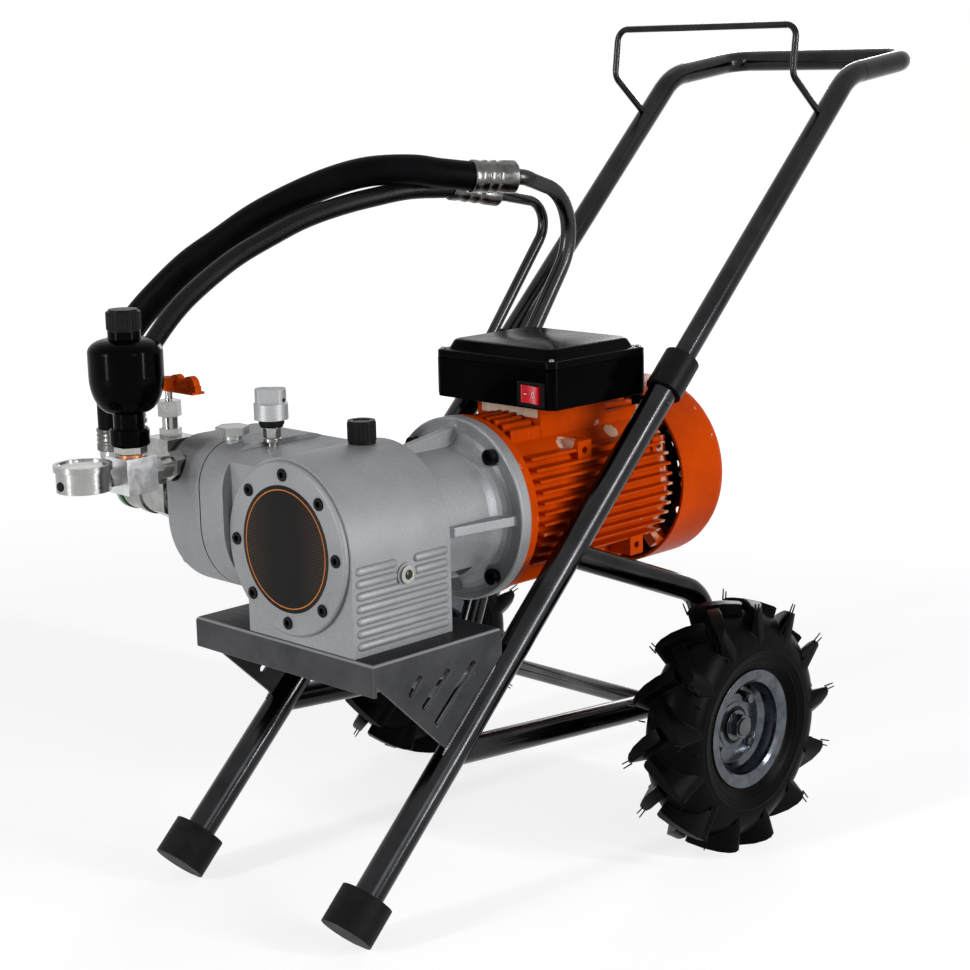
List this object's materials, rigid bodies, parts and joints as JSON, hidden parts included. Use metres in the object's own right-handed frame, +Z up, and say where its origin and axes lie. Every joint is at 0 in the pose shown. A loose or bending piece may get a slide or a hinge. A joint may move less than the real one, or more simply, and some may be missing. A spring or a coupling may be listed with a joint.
{
  "type": "airless paint sprayer",
  "caption": "Electric diaphragm paint sprayer on a two-wheeled tube cart, with telescopic handle, pressure gauge, accumulator and hoses.",
  "frame": {"origin": "middle of the bounding box in X and Y, on the ground under the feet and wheels", "axes": "+X towards the side of the switch, +Y from the feet towards the handle, +Z up"},
  "size_m": [0.6778, 1.0915, 0.8986],
  "materials": {
    "dark_chrome_tube": "dark mirror chrome",
    "black_rubber": "matt moulded rubber",
    "black_plastic": "satin black moulding",
    "tyre_rubber": "matt ribbed rubber",
    "zinc_plate": "bright zinc plate",
    "steel": "machined steel",
    "tray_steel": "grey hammer paint",
    "silver_casting": "silver painted casting",
    "bare_casting": "bare fine cast aluminium",
    "black_screw": "black oxide",
    "badge": "gloss dark disc with a plain ring",
    "nickel_brass": "nickel plated",
    "aluminium_knob": "bead blasted",
    "green_seal": "satin green",
    "stainless": "satin stainless",
    "copper": "plain copper",
    "gloss_black": "gloss black enamel",
    "dial_white": "matt white with black marks",
    "needle_black": "matt black",
    "glass": "clear",
    "orange_lever": "orange enamel",
    "orange_paint": "orange enamel on a casting",
    "winding": "laminations and varnished copper",
    "diaphragm_rubber": "matt",
    "red_rocker": "translucent red",
    "hose_black": "satin black"
  },
  "bodies": {
    "root": {"frame_tubes": "dark_chrome_tube", "rubber_feet": "black_rubber", "handle_collars": "black_plastic", "tray": "tray_steel", "rear_struts": "dark_chrome_tube", "axle": "steel", "wheel_bearings": "steel", "axle_nuts": "zinc_plate", "pump_housing": "silver_casting", "front_cover": "silver_casting", "cover_screws": "black_screw", "badge_disc": "badge", "pump_head": "silver_casting", "diaphragm": "diaphragm_rubber", "sight_glass": "nickel_brass", "breather_cap": "black_plastic", "filler_plug": "zinc_plate", "regulator_stem": "stainless", "inlet_body": "stainless", "inlet_seal": "green_seal", "hose_elbows": "stainless", "manifold_block": "stainless", "manifold_fitting": "stainless", "copper_washer": "copper", "accumulator": "gloss_black", "accumulator_cap": "black_plastic", "gauge_case": "stainless", "gauge_dial": "dial_white", "gauge_glass": "glass", "return_block": "stainless", "valve_body": "stainless", "bell_housing": "bare_casting", "case_bolts": "black_screw", "motor_frame": "orange_paint", "stator": "winding", "shaft_bearings": "steel", "fan_cover": "orange_paint", "terminal_box": "black_plastic", "box_lid": "black_plastic", "rocker_bezel": "black_plastic", "suction_hose": "hose_black", "return_hose": "hose_black", "hose_ferrules": "stainless", "pickup_tubes": "stainless", "tube_clamp": "black_plastic", "strainer": "stainless"},
    "handle": {"handle_tube": "dark_chrome_tube", "hose_hook": "dark_chrome_tube"},
    "wheel_left": {"tyre_left": "tyre_rubber", "rim_left": "zinc_plate"},
    "wheel_right": {"tyre_right": "tyre_rubber", "rim_right": "zinc_plate"},
    "rotor": {"rotor_shaft": "steel", "cooling_fan": "black_plastic", "eccentric": "steel"},
    "piston_rod": {"piston": "steel"},
    "knob": {"pressure_knob": "aluminium_knob"},
    "lever": {"valve_lever": "orange_lever"},
    "needle": {"gauge_needle": "needle_black"},
    "switch": {"rocker": "red_rocker"}
  },
  "joints": [
    {"name": "handle_slide", "type": "slide", "parent": "root", "child": "handle", "axis": [0, 0.7169, 0.6972], "range_m": [-0.18, 0]},
    {"name": "left_wheel_spin", "type": "hinge", "parent": "root", "child": "wheel_left", "pos_m": [0.3009, 0.03925, 0.1395], "axis": [1, 0, 0], "continuous": true},
    {"name": "right_wheel_spin", "type": "hinge", "parent": "root", "child": "wheel_right", "pos_m": [-0.1851, 0.03925, 0.1395], "axis": [1, 0, 0], "continuous": true},
    {"name": "rotor_spin", "type": "hinge", "parent": "root", "child": "rotor", "pos_m": [0.0756, -0.13875, 0.385], "axis": [0, 1, 0], "continuous": true},
    {"name": "piston_stroke", "type": "slide", "parent": "root", "child": "piston_rod", "axis": [1, 0, 0], "range_m": [-0.003, 0.003]},
    {"name": "knob_turn", "type": "hinge", "parent": "root", "child": "knob", "pos_m": [-0.0084, -0.34075, 0.51], "axis": [0, 0, 1], "range_deg": [0, 270]},
    {"name": "lever_turn", "type": "hinge", "parent": "root", "child": "lever", "pos_m": [-0.1324, -0.37875, 0.53], "axis": [0, 0, 1], "range_deg": [0, 90]},
    {"name": "needle_sweep", "type": "hinge", "parent": "root", "child": "needle", "pos_m": [-0.0984, -0.51575, 0.46125], "axis": [0, 0, 1], "range_deg": [-270, 0], "stiffness_Nm_per_rad": 0.0005},
    {"name": "rocker_tilt", "type": "hinge", "parent": "root", "child": "switch", "pos_m": [0.1356, -0.09375, 0.509], "axis": [0, 0, 1], "range_deg": [0, 16]}
  ]
}
